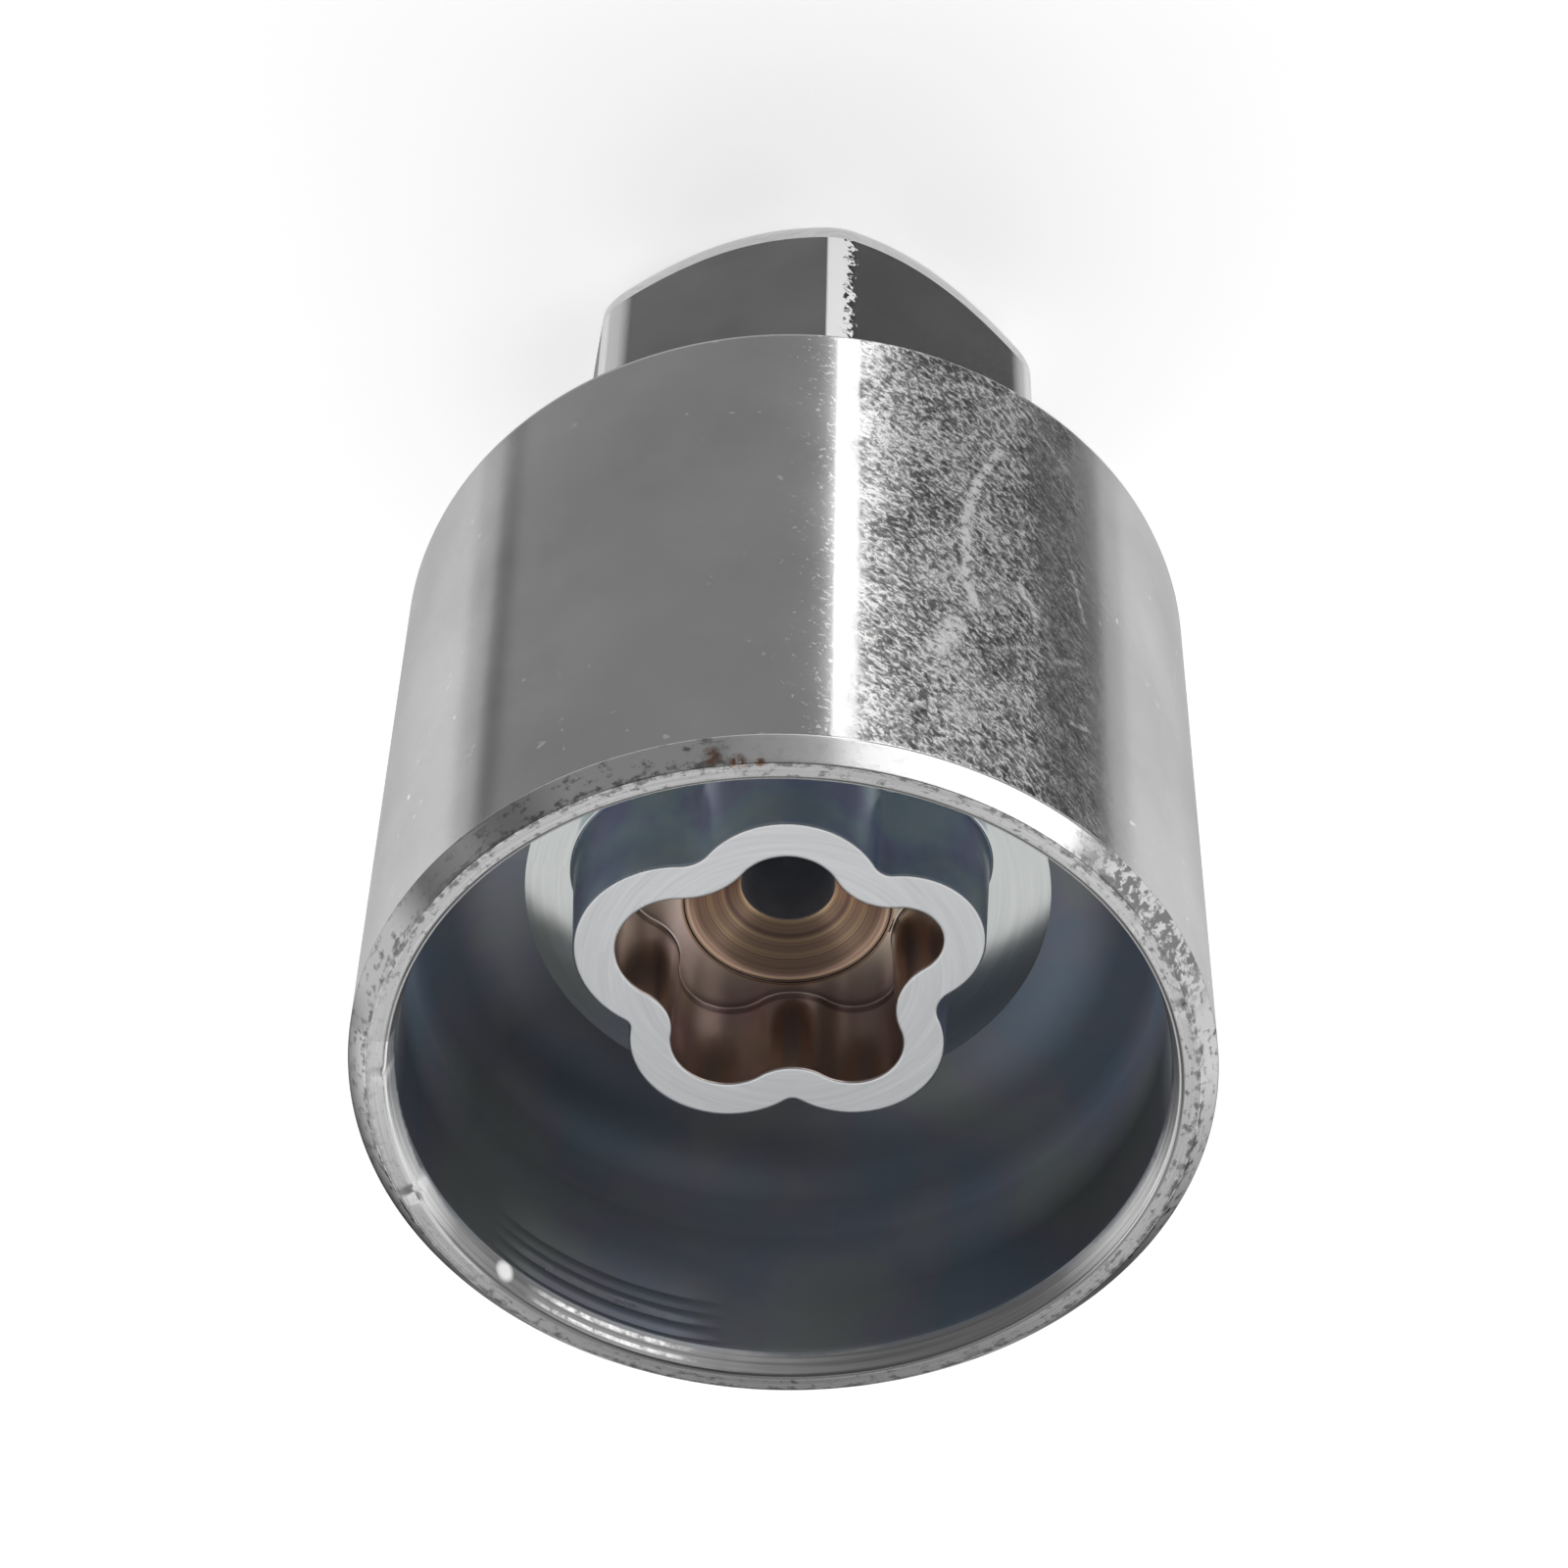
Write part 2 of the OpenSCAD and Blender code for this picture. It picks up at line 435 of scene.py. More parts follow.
class Surface:
    # a material in the making; it knows the object position, the turn round the axis in degrees (0 to 360),
    # and the radius and height in millimetres

    def __init__(self, name):
        self.material = bpy.data.materials.new(name)
        self.material.use_nodes = True
        self.tree = self.material.node_tree
        self.tree.nodes.clear()
        self.spot = self.add("TexCoord").outputs["Object"]
        x, y, z = self.add("SeparateXYZ", Vector=self.spot).outputs
        self.turn = self.wrapped(self.times(self.maths("ARCTAN2", y, x), 180 / math.pi), 0.0, 360.0)
        self.radius = self.times(self.maths("SQRT", self.plus(self.times(x, x), self.times(y, y))), 1000.0)
        self.height = self.times(z, 1000.0)

    def add(self, kind, **values):
        # a value sets the property or socket of its name, and in0 is the first socket
        # a socket as value is linked
        node = self.tree.nodes.new("ShaderNode" + kind)
        for name, value in values.items():
            if hasattr(node, name) and name not in node.inputs:
                setattr(node, name, value)
        for name, value in values.items():
            socket = node.inputs.get(name)
            if socket is None and name[:2] == "in" and name[2:].isdigit():
                socket = node.inputs[int(name[2:])]
            if socket is None:
                continue
            if isinstance(value, bpy.types.NodeSocket):
                self.tree.links.new(value, socket)
            else:
                socket.default_value = value
        return node

    def maths(self, operation, first, second=0.0, clamp=False):
        return self.add("Math", operation=operation, use_clamp=clamp, in0=first, in1=second).outputs[0]

    def times(self, first, *others):
        for other in others:
            first = self.maths("MULTIPLY", first, other)
        return first

    def plus(self, first, *others):
        for other in others:
            first = self.maths("ADD", first, other)
        return first

    def minus(self, first, second):
        return self.maths("SUBTRACT", first, second)

    def wrapped(self, value, low, high):
        return self.add("Math", operation="WRAP", in0=value, in1=high, in2=low).outputs[0]

    def rise(self, value, low, soft):
        # 0 up to low, then up to 1 over the soft width
        return self.maths("DIVIDE", self.minus(value, low), soft, clamp=True)

    def between(self, value, low, high, soft):
        fall = self.maths("DIVIDE", self.minus(high, value), soft, clamp=True)
        return self.times(self.rise(value, low, soft), fall)

    def vector(self, x, y=0.0, z=0.0):
        return self.add("CombineXYZ", X=x, Y=y, Z=z).outputs[0]

    def vectorMaths(self, operation, first, second=(0, 0, 0), output="Vector"):
        return self.add("VectorMath", operation=operation, in0=first, in1=second).outputs[output]

    def noise(self, vector, scale, detail=3.0, rough=0.6, distortion=0.0):
        return self.add("TexNoise", Vector=vector, Scale=scale, Detail=detail, Roughness=rough,
                        Distortion=distortion).outputs["Fac"]

    def ramp(self, factor, stops):
        # each stop is a position and a grey level or a colour
        node = self.add("ValToRGB", Fac=factor)
        ramp = node.color_ramp
        while len(ramp.elements) < len(stops):
            ramp.elements.new(0.5)
        for element, (position, colour) in zip(ramp.elements, stops):
            element.position = position
            element.color = grey(colour) if isinstance(colour, float) else (*colour, 1)
        return node.outputs["Color"]

    def mix(self, factor, first, second, blend="MIX"):
        node = self.add("Mix", data_type="RGBA", blend_type=blend)
        for index, value in ((0, factor), (6, first), (7, second)):
            if isinstance(value, bpy.types.NodeSocket):
                self.tree.links.new(value, node.inputs[index])
            elif index and isinstance(value, float):
                node.inputs[index].default_value = grey(value)
            else:
                node.inputs[index].default_value = value
        return node.outputs[2]

    def tinted(self, colour, tone):
        return self.mix(1.0, colour, tone, "MULTIPLY")

    def toneRound(self, tones):
        stops = [(turn / 360, tone) for turn, tone in tones]
        return self.ramp(self.maths("DIVIDE", self.turn, 360.0), stops)

    def turnedLines(self, scale):
        return self.noise(self.vector(self.radius, self.times(self.turn, 0.004), self.height), scale)

    def ball(self, turn, radius, height, size):
        # 1 inside a small ball round a point of the surface, sizes in millimetres
        middle = (polar(radius, turn).to_3d() + Vector((0, 0, height))) * mm
        away = self.vectorMaths("DISTANCE", self.spot, middle, "Value")
        return self.maths("SUBTRACT", 2.0, self.maths("DIVIDE", away, size * mm / 2), clamp=True)

    def stroke(self, start, end, width):
        # 1 along a scratch on the round side, from start to end, each a turn and a height
        perDegree = math.pi / 180 * nutKey["bodyRadius"]
        first = Vector((start[0] * perDegree, start[1], 0))
        span = Vector((end[0] * perDegree, end[1], 0)) - first
        unrolled = self.vector(self.times(self.turn, perDegree), self.height)
        off = self.vectorMaths("SUBTRACT", unrolled, first)
        along = self.vectorMaths("DOT_PRODUCT", off, span / span.length_squared, "Value")
        along = self.maths("ADD", along, 0.0, clamp=True)
        foot = self.add("VectorMath", operation="SCALE", in0=span, Scale=along).outputs[0]
        away = self.vectorMaths("DISTANCE", off, foot, "Value")
        return self.maths("SUBTRACT", 1.5, self.maths("DIVIDE", away, width / 2), clamp=True)

    def strokes(self, scratches):
        mask = 0.0
        for start, end, width in scratches:
            mask = self.maths("MAXIMUM", self.stroke(start, end, width), mask)
        return mask

    def lineTilt(self, low, high):
        # turned lines too fine to see
        # their upper sides slope by low to high and spread the light along the axis
        chance = self.add("TexWhiteNoise", Vector=self.spot).outputs["Value"]
        slope = self.add("MapRange", Value=chance, **{"To Min": low, "To Max": high}).outputs[0]
        plain = self.add("NewGeometry").outputs["Normal"]
        tilted = self.vectorMaths("ADD", plain, self.vector(0.0, 0.0, slope))
        return self.vectorMaths("NORMALIZE", tilted)

    def metal(self, colour, roughness, bump=None, strength=0.3, distance=0.00005, anisotropic=0.0,
              baseNormal=None, edgeTint=1.0):
        shader = self.add("BsdfPrincipled", **{"Base Color": colour, "Roughness": roughness})
        shader.inputs["Metallic"].default_value = 1.0
        shader.inputs["Specular Tint"].default_value = grey(edgeTint)
        shader.inputs["Anisotropic"].default_value = anisotropic
        if anisotropic:
            tangent = self.add("Tangent", direction_type="RADIAL", axis="Z").outputs[0]
            self.tree.links.new(tangent, shader.inputs["Tangent"])
            shader.inputs["Anisotropic Rotation"].default_value = 0.25
        if bump is not None:
            normal = self.add("Bump", Height=bump, Strength=strength, Distance=distance)
            if baseNormal is not None:
                self.tree.links.new(baseNormal, normal.inputs["Normal"])
            self.tree.links.new(normal.outputs[0], shader.inputs["Normal"])
        return shader.outputs[0]

    def finish(self, shader):
        self.add("OutputMaterial", Surface=shader)
        return self.material


# the outside: plated steel, worn through on one side

plating = {
    "tone": (0.35, 0.42),
    "roughness": (0.14, 0.17),
    "lineSlopes": (0.6, 0.8),
}

wornPatch = {
    "from": 232.0, "to": 273.0,        # turn round the axis
    "smoothBelow": 246.0,              # the flecks thin out below this turn
    "perDegree": 0.31,                 # millimetres of the round side in one degree of turn
    "fleckScale": 4.2,
    "fleckLean": -0.86,                # in radians, from the way round
    "fleckLength": 1.7,                # times their width
    # a rubbed line that also carries a painted highlight where the strip lamp reflects
    "rubLineAndHighlight": (269.5, 273.3),
    # start and end, each a turn and a height, and the width in millimetres
    "scratches": [
        ((249.1, 27.3), (252.4, 30.2), 0.35),
        ((252.4, 30.2), (255.0, 33.9), 0.45),
        ((255.0, 33.9), (254.5, 36.4), 0.4),
        ((254.5, 36.4), (255.2, 37.9), 0.3),
        ((255.2, 37.9), (253.5, 39.8), 0.4),
        ((256.5, 41.5), (259.3, 43.5), 0.9),
        ((246.7, 36.7), (244.3, 38.3), 0.3),
    ],
    "faintScratches": [
        ((256.4, 27.7), (254.1, 29.0), 0.25),
        ((254.1, 29.0), (249.8, 27.9), 0.25),
        ((237.1, 33.2), (235.4, 36.4), 0.25),
        ((246.2, 38.0), (243.1, 39.1), 0.25),
        ((243.1, 39.1), (241.3, 40.8), 0.25),
        ((241.3, 40.8), (237.0, 39.8), 0.3),
        ((242.8, 23.8), (237.1, 25.5), 0.25),
        ((248.2, 24.0), (242.8, 24.4), 0.25),
        ((246.2, 30.8), (245.7, 33.0), 0.35),
        ((250.8, 42.3), (244.6, 40.6), 0.4),
        ((239.8, 44.4), (234.7, 43.8), 0.3),
        ((254.7, 40.1), (246.8, 37.3), 0.9),
    ],
}


def makePlatedSteel():
    steel = Surface("platedSteel")
    spot, turn, height = steel.spot, steel.turn, steel.height
    cloud = steel.noise(spot, 120, 4, 0.55)
    # worn patch: dents and flecks of bare metal on a darkened ground
    drift = steel.minus(steel.noise(spot, 420), 0.5)
    wornTurn = steel.plus(turn, steel.times(drift, 8.0))
    worn = steel.between(wornTurn, wornPatch["from"], wornPatch["to"], 4.0)
    unrolled = steel.vector(steel.times(turn, wornPatch["perDegree"]), height)
    leaning = steel.add("Mapping", vector_type="TEXTURE", Vector=unrolled,
                        Rotation=(0.0, 0.0, wornPatch["fleckLean"]),
                        Scale=(wornPatch["fleckLength"], 1.0, 1.0)).outputs[0]
    fleck = steel.noise(leaning, wornPatch["fleckScale"], 4, 0.75, 0.5)
    patches = steel.noise(spot, 330, 4, 0.75)
    near = steel.between(turn, 240.0, 285.0, 30.0)
    level = steel.plus(fleck, steel.plus(steel.times(near, 0.06), steel.times(patches, 0.6)))
    fleckTone = steel.ramp(level, [(0.64, 0.11), (0.75, 0.22), (0.83, 0.45), (0.93, 0.8)])
    smooth = steel.between(wornTurn, 200.0, wornPatch["smoothBelow"], 4.0)
    dulled = steel.ramp(steel.noise(leaning, 1.2), [(0.35, 0.17), (0.65, 0.32)])
    fleckTone = steel.mix(steel.times(smooth, 0.8), fleckTone, dulled)
    dark, light = plating["tone"]
    ground = steel.ramp(cloud, [(0.3, dark), (0.7, light)])
    specks = steel.ramp(steel.noise(spot, 1700, 2, 0.5), [(0.71, 0.0), (0.77, 1.0)])
    ground = steel.mix(steel.times(specks, 0.35), ground, 0.9)
    # flecks thin out on the other side of the rubbed line
    fringe = steel.minus(fleck, steel.times(steel.minus(turn, 274.0), 0.016))
    fringe = steel.ramp(fringe, [(0.56, 0.0), (0.62, 1.0)])
    fringe = steel.times(fringe, steel.between(turn, 272.0, 286.0, 2.0))
    ground = steel.mix(steel.times(fringe, 0.7), ground, 0.85)
    colour = steel.mix(worn, ground, fleckTone)
    ragged = steel.ramp(steel.noise(spot, 2600, 4, 0.7), [(0.36, 0.0), (0.54, 1.0)])
    for scratches, strength in ((wornPatch["faintScratches"], 0.45), (wornPatch["scratches"], 0.75)):
        scratch = steel.times(steel.strokes(scratches), ragged)
        colour = steel.mix(steel.times(scratch, strength), colour, 0.9)
    # a polished rubbed line with a painted highlight along the strip lamp's reflection
    low, high = wornPatch["rubLineAndHighlight"]
    rub = steel.between(steel.plus(turn, drift), low, high, 0.5)
    colour = steel.mix(steel.times(rub, 0.8), colour, 0.6)
    # painted shade: the shoulder and its edge, under the body where it meets the hexagon, are darker
    edge = steel.between(height, 21.0, 22.0, 0.2)
    colour = steel.mix(steel.times(edge, 0.6), colour, 0.15)
    clear, dull = plating["roughness"]
    wornRough = steel.ramp(fleck, [(0.4, 0.2), (0.6, 0.3)])
    rough = steel.mix(worn, steel.ramp(cloud, [(0.3, clear), (0.7, dull)]), wornRough)
    rough = steel.mix(scratch, rough, 0.34)
    slope = steel.lineTilt(*plating["lineSlopes"])
    relief = steel.times(fleck, worn)
    return steel.finish(steel.metal(colour, rough, relief, 0.15, 0.00004, baseNormal=slope))


hexagonRubAndHighlight = {
    "perDegree": 0.206,                # millimetres of the outline in one degree, near a long edge
    "front": (240.0, 300.0, 10.0),     # turns between which the band is narrow, bright and ragged, a painted highlight on the rubbed edge
    "smoothSide": 0.62,                # half widths of the band in millimetres
    "raggedSide": 0.55,
    "widerElsewhere": 0.7,
    "strengthElsewhere": 0.4,
}


def makeHexagonSteel():
    steel = Surface("hexagonSteel")
    cloud = steel.noise(steel.spot, 160, 4, 0.55)
    fleck = steel.noise(steel.spot, 2600, 4, 0.62, 0.6)
    # the six long edges are rubbed bright, and the one facing the front carries a painted highlight; off is
    # the way along the outline from the edge
    off = steel.times(steel.minus(steel.wrapped(steel.turn, 0.0, 60.0), 30.0), hexagonRubAndHighlight["perDegree"])
    front = steel.between(steel.turn, *hexagonRubAndHighlight["front"])
    rag = steel.times(steel.minus(fleck, 0.5), steel.times(front, 3.0))
    spread = steel.times(steel.minus(1.0, front), hexagonRubAndHighlight["widerElsewhere"])
    soft = steel.plus(0.12, steel.times(spread, 0.6))
    smoothSide = steel.minus(steel.plus(spread, hexagonRubAndHighlight["smoothSide"]), off)
    smoothSide = steel.maths("DIVIDE", smoothSide, soft, clamp=True)
    raggedSide = steel.plus(off, hexagonRubAndHighlight["raggedSide"], steel.plus(rag, spread))
    raggedSide = steel.maths("DIVIDE", raggedSide, soft, clamp=True)
    faint = hexagonRubAndHighlight["strengthElsewhere"]
    edge = steel.times(smoothSide, raggedSide, steel.plus(faint, steel.times(front, 1.0 - faint)))
    colour = steel.mix(edge, steel.ramp(cloud, [(0.3, 0.2), (0.7, 0.26)]), 0.9)
    slope = steel.lineTilt(*plating["lineSlopes"])
    plain = steel.metal(colour, 0.14, fleck, 0.03, 0.00002, baseNormal=slope)
    rubbedAndHighlit = steel.metal(grey(0.85), 0.6)
    return steel.finish(steel.add("MixShader", in0=edge, in1=plain, in2=rubbedAndHighlit).outputs[0])


def makeHexagonChamfer():
    steel = Surface("hexagonChamfer")
    lines = steel.turnedLines(6)
    # brighter than the flats: rubbed bare metal with a painted highlight round the hexagon's end
    colour = steel.ramp(lines, [(0.3, 0.5), (0.7, 0.62)])
    return steel.finish(steel.metal(colour, 0.25, lines, 0.1, 0.00002))


# the mouth and the bore: tone at each turn round the axis, painted light and shade on the worn metal

mouthLightShadeAndWear = {
    "chamfer": [
        (0, 0.5), (25, 0.6), (42, 0.66), (54, 0.3), (64, 0.13), (85, 0.07), (98, 0.04), (110, 0.04),
        (124, 0.09), (150, 0.26), (162, 0.42), (175, 0.5), (205, 0.44), (235, 0.5), (250, 0.4), (266, 0.42),
        (276, 0.62), (288, 0.42), (308, 0.42), (315, 0.24), (333, 0.1), (341, 0.36),
    ],
    "rim": [
        (0, 0.5), (40, 0.48), (70, 0.36), (100, 0.28), (135, 0.31), (158, 0.46), (245, 0.44), (268, 0.38),
        (285, 0.38), (305, 0.44),
    ],
    "leadIn": [
        (0, 0.68), (33, 0.62), (41, 0.26), (60, 0.2), (90, 0.18), (100, 0.3), (118, 0.22), (146, 0.18),
        (158, 0.48), (172, 0.62), (185, 0.4),
    ],
    "boreDeep": [
        (0, 1.7), (20, 1.2), (40, 0.7), (70, 0.75), (98, 1.0), (144, 1.75), (180, 1.7), (270, 1.0),
        (350, 1.8),
    ],
    "boreMouth": [
        (0, 0.8), (15, 0.35), (30, 0.45), (50, 0.65), (98, 0.95), (130, 0.75), (150, 0.5), (180, 0.45),
        (190, 0.9), (350, 0.9),
    ],
}

# painted glints on the grooves and the chip near the mouth: from, to and the soft width, in degrees round
# the axis or in height
paintedGlints = {
    "leadInTurns": (56.0, 86.0, 7.0),
    "leadInArcs": [(50.58, 50.88, 0.08), (51.1, 51.35, 0.06)],
    "chip": (51.6, 16.0, 50.85, 0.55),  # turn, radius, height and size
    "boreTurns": (52.0, 88.0, 6.0),
    "boreHeights": (48.8, 49.35, 0.12),
}

# turn, radius, height and size
rustSpots = [
    (288.1, 17.3, 51.4, 0.5),
    (284.9, 17.05, 51.6, 0.45),
    (286.4, 17.1, 51.6, 0.25),
    (281.9, 17.0, 51.6, 0.25),
]


def mouthWear(steel):
    # streaks along the rim, specks, and dirt where the rim meets its chamfers
    along = steel.vector(steel.times(steel.turn, 0.1), steel.radius, steel.height)
    streaks = steel.noise(along, 4.5, 4, 0.65)
    specks = steel.noise(steel.spot, 2400, 3, 0.65)
    edge = steel.between(steel.radius, 16.7, 17.2, 0.15)
    level = steel.plus(steel.times(streaks, 0.55), steel.times(specks, 0.45), steel.times(edge, 0.08))
    return steel.ramp(level, [(0.53, 0.0), (0.63, 1.0)])


def rusted(steel, colour):
    ragged = steel.ramp(steel.noise(steel.spot, 3500), [(0.4, 0.2), (0.55, 1.0)])
    for turn, radius, height, size in rustSpots:
        rust = steel.times(steel.ball(turn, radius, height, size), ragged)
        colour = steel.mix(rust, colour, (0.17, 0.1, 0.07, 1))
    return colour


def makeTurnedSteel():
    steel = Surface("turnedSteel")
    lines = steel.turnedLines(9)
    # the tone round the rim is painted light and shade
    tone = steel.tinted(steel.toneRound(mouthLightShadeAndWear["rim"]), steel.ramp(lines, [(0.3, 0.85), (0.7, 1.1)]))
    clean = steel.between(steel.wrapped(steel.turn, -180.0, 180.0), -14.0, 52.0, 6.0)
    clean = steel.times(clean, 0.7)
    dirt = steel.times(mouthWear(steel), steel.minus(1.0, clean))
    # a dark line round the inner edge
    inner = steel.between(steel.radius, 16.12, steel.plus(16.2, steel.times(lines, 0.3)), 0.06)
    inner = steel.times(inner, steel.minus(0.75, clean))
    colour = steel.mix(steel.maths("MAXIMUM", steel.times(dirt, 0.75), inner), tone, 0.08)
    return steel.finish(steel.metal(rusted(steel, colour), 0.25, lines, 0.1, 0.00002, 0.5))


def makeMouthChamfer():
    steel = Surface("mouthChamfer")
    clean = steel.between(steel.turn, 234.0, 290.0, 6.0)
    dirt = steel.times(mouthWear(steel), steel.minus(1.0, steel.times(clean, 0.85)))
    pocked = steel.ramp(steel.noise(steel.spot, 2600), [(0.46, 0.0), (0.54, 1.0)])
    dirt = steel.maths("MAXIMUM", dirt, steel.times(pocked, steel.between(steel.turn, 203.0, 238.0, 8.0)))
    # darker towards its outer edge on one side
    oneSide = steel.between(steel.wrapped(steel.turn, -180.0, 180.0), -8.0, 52.0, 6.0)
    outward = steel.times(steel.rise(steel.radius, 16.95, 0.8), oneSide)
    # the tone round the axis is painted light and shade
    tone = steel.mix(outward, steel.toneRound(mouthLightShadeAndWear["chamfer"]), 0.18)
    colour = rusted(steel, steel.mix(steel.times(dirt, 0.8), tone, 0.08))
    return steel.finish(steel.metal(colour, 0.2, dirt, 0.05, 0.00003, edgeTint=0.16))


def makeLeadIn():
    steel = Surface("leadIn")
    lines = steel.turnedLines(6)
    tone = steel.ramp(lines, [(0.35, 0.75), (0.65, 1.25)])
    # the tone round the axis is painted light and shade
    tone = steel.tinted(steel.toneRound(mouthLightShadeAndWear["leadIn"]), tone)
    # the bright metal fades raggedly into the oxide of the bore
    drift = steel.times(steel.minus(steel.noise(steel.spot, 500, 4), 0.5), 0.9)
    colour = steel.mix(steel.rise(steel.plus(steel.height, drift), 50.42, 0.22), (0.2, 0.21, 0.23, 1), tone)
    # painted glints on a chip and two groove arcs, which also lean upward
    low, high = (steel.between(steel.height, *arc) for arc in paintedGlints["leadInArcs"])
    broken = steel.ramp(steel.noise(steel.spot, 1500, 3, 0.7), [(0.38, 0.1), (0.62, 0.9)])
    arcs = steel.times(steel.plus(low, high), broken, steel.between(steel.turn, *paintedGlints["leadInTurns"]))
    bright = steel.maths("MAXIMUM", arcs, steel.ball(*paintedGlints["chip"]))
    colour = steel.mix(bright, colour, 0.95)
    rough = steel.ramp(bright, [(0.0, 0.3), (1.0, 0.4)])
    low = steel.plus(0.3, steel.times(bright, 0.35))
    high = steel.plus(0.7, steel.times(bright, 0.2))
    slope = steel.lineTilt(low, high)
    return steel.finish(steel.metal(colour, rough, lines, 0.2, 0.00003, baseNormal=slope))


def makeBoreOxide():
    steel = Surface("boreOxide")
    drift = steel.noise(steel.spot, 140, 3, 0.5)
    colour = steel.ramp(drift, [
        (0.38, (0.25, 0.31, 0.38)),
        (0.5, (0.305, 0.31, 0.365)),
        (0.62, (0.33, 0.35, 0.35)),
    ])
    # painted light and shade: darker towards the floor of the bore, lighter and darker round the axis
    foot = steel.ramp(steel.rise(steel.height, 38.8, 6.0),
                      [(0.0, 0.5), (0.2, 0.44), (0.45, 0.6), (0.7, 1.1), (1.0, 1.25)])
    boreLightAndShade = steel.mix(steel.rise(steel.height, 43.0, 4.0), steel.toneRound(mouthLightShadeAndWear["boreDeep"]),
                       steel.toneRound(mouthLightShadeAndWear["boreMouth"]))
    colour = steel.tinted(steel.tinted(colour, foot), boreLightAndShade)
    # painted glints on the grooves near the mouth
    broken = steel.ramp(steel.noise(steel.spot, 600), [(0.35, 0.1), (0.65, 1.0)])
    grooveGlint = steel.between(steel.turn, *paintedGlints["boreTurns"])
    grooveGlint = steel.times(grooveGlint, steel.between(steel.height, *paintedGlints["boreHeights"]), broken)
    colour = steel.mix(steel.times(grooveGlint, 0.5), colour, 0.8)
    rough = steel.ramp(grooveGlint, [(0.0, 0.62), (1.0, 0.25)])
    return steel.finish(steel.metal(colour, rough, steel.turnedLines(7), 0.1, 0.00003))


# the floor of the socket, the ridge and the recess

def makeSocketFloor():
    steel = Surface("socketFloor")
    lines = steel.turnedLines(5)
    colour = steel.ramp(lines, [(0.35, (0.37, 0.385, 0.38)), (0.65, (0.41, 0.425, 0.42))])
    return steel.finish(steel.metal(colour, 0.12, lines, 0.03, 0.00001))


def makeRidgeOxide():
    steel = Surface("ridgeOxide")
    drift = steel.noise(steel.spot, 260, 3, 0.5)
    colour = steel.ramp(drift, [
        (0.4, (0.66, 0.68, 0.88)),
        (0.5, (0.72, 0.86, 0.95)),
        (0.6, (0.84, 0.96, 0.97)),
    ])
    # painted shade, darker in the creases between the lobes
    creaseShade = steel.ramp(steel.maths("DIVIDE", steel.radius, 10.0), [(0.62, 0.45), (0.72, 1.0)])
    return steel.finish(steel.metal(steel.tinted(colour, creaseShade), 0.3, drift, 0.1, 0.00003))


def makeRidgeFace():
    steel = Surface("ridgeFace")
    lines = steel.turnedLines(6)
    colour = steel.ramp(lines, [(0.3, (0.46, 0.47, 0.48)), (0.7, (0.54, 0.55, 0.56))])
    return steel.finish(steel.metal(colour, 0.3, lines, 0.1, 0.00002))


def makeRecessBronze():
    steel = Surface("recessBronze")
    drift = steel.noise(steel.spot, 300, 3, 0.5)
    wall = steel.ramp(drift, [
        (0.35, (0.53, 0.43, 0.41)),
        (0.5, (0.53, 0.45, 0.41)),
        (0.65, (0.55, 0.48, 0.4)),
    ])
    # the cone is straw and brown in rings, with a dark ring at its edge
    rings = steel.noise(steel.vector(steel.radius), 4.0, 2, 0.5)
    cone = steel.ramp(rings, [
        (0.35, (0.2, 0.13, 0.11)),
        (0.5, (0.33, 0.22, 0.16)),
        (0.62, (0.48, 0.34, 0.21)),
    ])
    ring = steel.between(steel.radius, 4.3, 4.55, 0.06)
    cone = steel.mix(steel.times(ring, 0.7), cone, (0.12, 0.09, 0.08, 1))
    low = steel.maths("LESS_THAN", steel.height, nutKey["recessFloor"] + 0.02)
    inside = steel.times(steel.maths("LESS_THAN", steel.radius, 4.6), low)
    # painted shade in the corner round the recess floor
    corner = steel.between(steel.height, nutKey["recessFloor"] - 0.02, nutKey["recessFloor"] + 0.45, 0.1)
    corner = steel.times(corner, steel.maths("GREATER_THAN", steel.radius, 4.6))
    wall = steel.mix(steel.times(corner, 0.6), wall, (0.1, 0.07, 0.07, 1))
    return steel.finish(steel.metal(steel.mix(inside, wall, cone), 0.3, drift, 0.1, 0.00003))


def makeHoleShade():
    steel = Surface("holeShade")
    colour = steel.ramp(steel.noise(steel.spot, 500), [(0.4, (0.48, 0.5, 0.54)), (0.6, (0.54, 0.56, 0.6))])
    return steel.finish(steel.metal(colour, 0.7))


# in the order of the finishes
makers = (
    makePlatedSteel, makeHexagonSteel, makeHexagonChamfer, makeTurnedSteel, makeMouthChamfer, makeLeadIn,
    makeBoreOxide, makeSocketFloor, makeRidgeOxide, makeRidgeFace, makeRecessBronze, makeHoleShade,
)
for maker in makers:
    keyMesh.materials.append(maker())
print("materials made")

# The studio has a wide pale floor, soft panels and the camera.

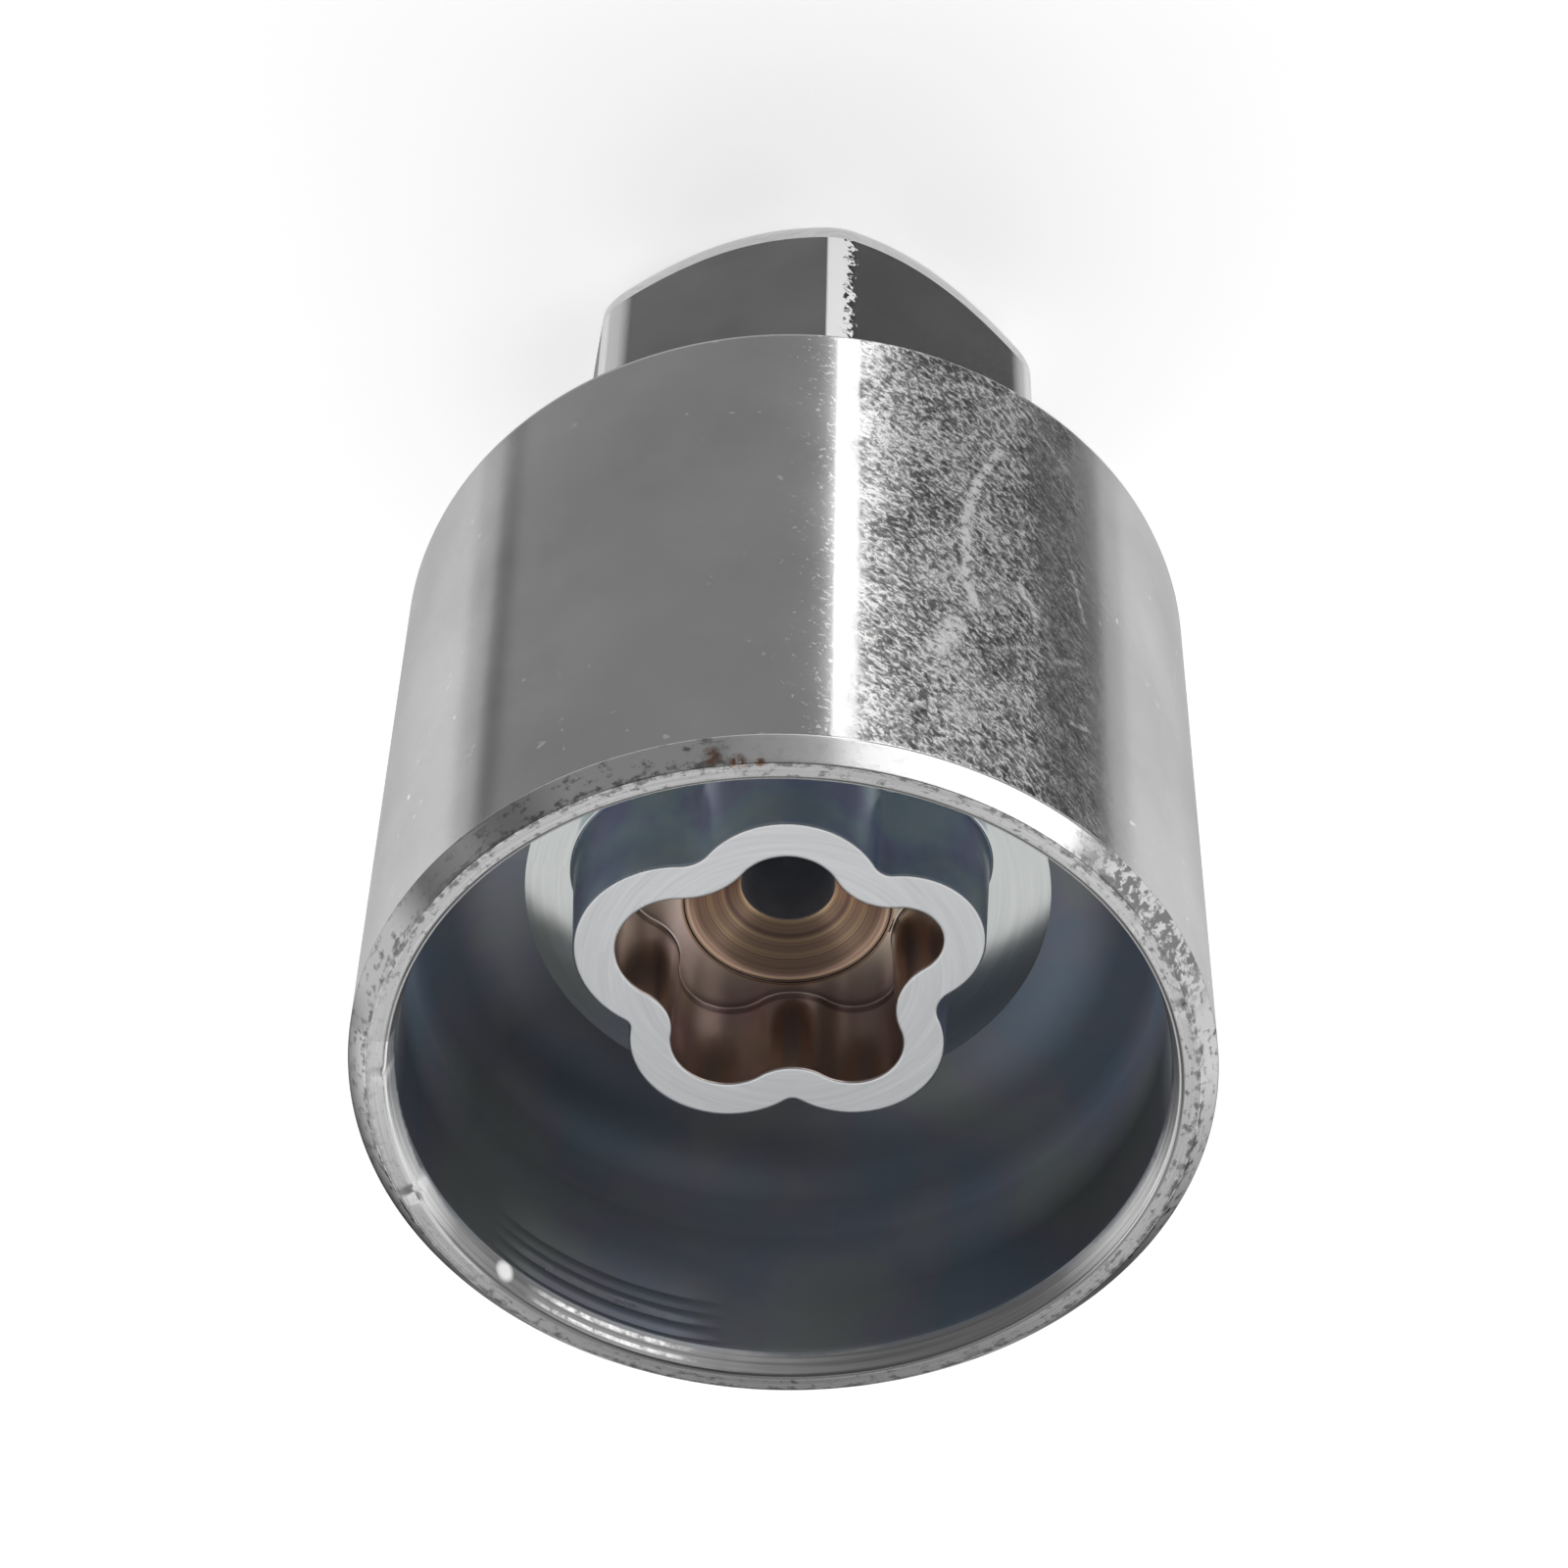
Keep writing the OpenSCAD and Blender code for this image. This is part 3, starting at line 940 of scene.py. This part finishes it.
studio = {
    "floorSize": 30.0,
    "floorTone": 0.85,
    "floorGlow": 0.45,
    "worldLevel": 0.15,
    # name, turn round the axis, lift above the floor in degrees, distance, width, height, radiance
    "panels": [
        ("rearPanel", 97.7, 67, 0.75, 1.3, 0.55, 1.2),
        ("wallLeftEnd", -6.3, 14, 0.8, 0.092, 0.46, 0.65),
        ("wallLeft", 29.35, 14, 0.8, 1.0135, 0.46, 1.2),
        ("wallMiddle", 97.4, 14, 0.8, 1.15, 0.46, 1.2),
        ("wallRight", 165.55, 14, 0.8, 1.0175, 0.46, 1.2),
        ("wallRightEnd", 201.25, 14, 0.8, 0.091, 0.46, 0.65),
        ("fillPanel", -51, 21, 0.8, 1.2, 0.74, 0.32),
        ("frontBox", -124, 33, 0.6, 0.56, 0.17, 3.0),
        ("stripLamp", -92.8, 8, 0.3, 0.025, 0.14, 4.5),
    ],
}
aim = Vector((0.3, 0.04, 30.92)) * mm

bpy.ops.mesh.primitive_plane_add(size=studio["floorSize"], location=(0, 0, 0))
floorPiece = bpy.context.object
floorPiece.name = "studioFloor"
paint = Surface("studioFloor")
path = paint.add("LightPath").outputs
seen = paint.maths("MAXIMUM", path["Is Glossy Ray"], path["Is Transmission Ray"])
seen = paint.maths("MAXIMUM", path["Is Camera Ray"], seen)
# past the panels no light falls, so the floor there is white to the camera by itself
far = paint.times(paint.rise(paint.radius, 450.0, 300.0), path["Is Camera Ray"], 1.0 - studio["floorGlow"])
level = paint.plus(paint.times(seen, studio["floorGlow"]), far)
glow = paint.add("Emission", Color=grey(1.0), Strength=level)
matt = paint.add("BsdfDiffuse", Color=grey(studio["floorTone"]))
floorPiece.data.materials.append(
    paint.finish(paint.add("AddShader", in0=glow.outputs[0], in1=matt.outputs[0]).outputs[0]))

world = bpy.data.worlds.new("studioWorld")
bpy.context.scene.world = world
world.use_nodes = True
worldTree = world.node_tree
backdrop = worldTree.nodes["Background"]
backdrop.inputs["Color"].default_value = grey(1.0)
level = worldTree.nodes.new("ShaderNodeMath")
level.operation = "MAXIMUM"
level.inputs[1].default_value = studio["worldLevel"]
path = worldTree.nodes.new("ShaderNodeLightPath").outputs
worldTree.links.new(path["Is Camera Ray"], level.inputs[0])
worldTree.links.new(level.outputs[0], backdrop.inputs["Strength"])

for name, turn, lift, distance, width, height, radiance in studio["panels"]:
    lamp = bpy.data.lights.new(name, "AREA")
    lamp.shape = "RECTANGLE"
    lamp.size, lamp.size_y = width, height
    lamp.energy = radiance * math.pi * width * height
    lampPiece = bpy.data.objects.new(name, lamp)
    lampPiece.visible_camera = False
    side = polar(distance * math.cos(math.radians(lift)), turn)
    lampPiece.location = side.to_3d() + Vector((0, 0, distance * math.sin(math.radians(lift)))) + aim
    lampPiece.rotation_euler = (aim - lampPiece.location).to_track_quat("-Z", "Y").to_euler()
    bpy.context.scene.collection.objects.link(lampPiece)

view = {
    "place": (16.533, -119.981, 188.026),
    "right": (-0.98740, -0.15723, -0.01813),
    "up": (0.13549, -0.78052, -0.61027),
    "ahead": (-0.08180, 0.60503, -0.79199),
    "lens": 102.75,
}
camera = bpy.data.cameras.new("photoCamera")
camera.lens = view["lens"]
camera.sensor_width = 36.0
camera.clip_start, camera.clip_end = 0.01, 100.0
cameraPiece = bpy.data.objects.new("photoCamera", camera)
bpy.context.scene.collection.objects.link(cameraPiece)
axes = Matrix((view["right"], view["up"], -Vector(view["ahead"]))).transposed()
cameraPiece.matrix_world = Matrix.Translation(Vector(view["place"]) * mm) @ axes.to_4x4()
bpy.context.scene.camera = cameraPiece

bpy.context.scene.view_settings.view_transform = "Standard"
print("studio ready")
